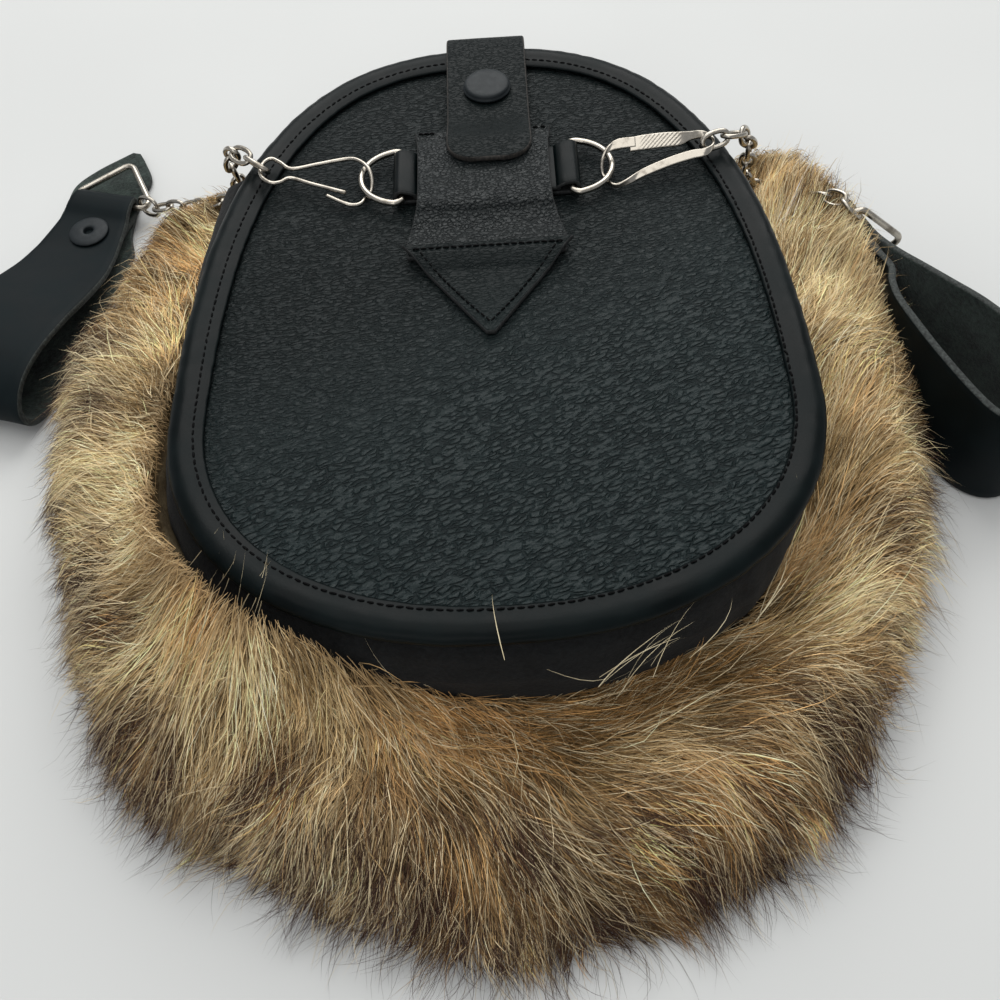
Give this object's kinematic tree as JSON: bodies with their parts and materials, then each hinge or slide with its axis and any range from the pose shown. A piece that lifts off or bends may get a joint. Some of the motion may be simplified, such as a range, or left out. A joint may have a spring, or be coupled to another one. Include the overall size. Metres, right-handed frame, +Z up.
{
  "type": "sporran pouch",
  "caption": "Fur-fronted leather pouch with a gusset and a tab closure, lying on its fur, with D-rings, spring clips, chains and snap-closed belt hangers.",
  "frame": {"origin": "a point on the flat underside of the fur, on the pouch's axis and at its widest line", "axes": "+X to the right as seen from the pouch's foot, +Y from the foot to the mouth, +Z up, out of the back panel"},
  "size_m": [0.3415, 0.3007, 0.0632],
  "materials": {
    "grained_leather": "pebble-grained black leather, satin",
    "smooth_leather": "smooth black leather, satin",
    "suede": "dark suede, matte",
    "fur_hair": "long cream, tan and dark-tipped hair",
    "dark_snap": "matte dark grey metal",
    "nickel": "polished nickel, slightly warm"
  },
  "bodies": {
    "root": {"back_panel": "grained_leather", "back_binding": "smooth_leather", "gusset": "suede", "front_panel": "smooth_leather", "fur": "fur_hair", "closure_tab": "grained_leather", "tab_snap_cap": "dark_snap", "keeper": "grained_leather", "keeper_patch": "grained_leather", "d_ring_strap": "smooth_leather", "d_ring_left": "nickel", "d_ring_right": "nickel", "clip_left": "nickel", "clip_right": "nickel", "chain_left": "nickel", "chain_right": "nickel", "belt_loop_left": "smooth_leather", "belt_loop_right": "smooth_leather", "ring_left": "nickel", "ring_right": "nickel", "loop_snap_left": "dark_snap", "loop_snap_right": "dark_snap"}
  },
  "joints": []
}
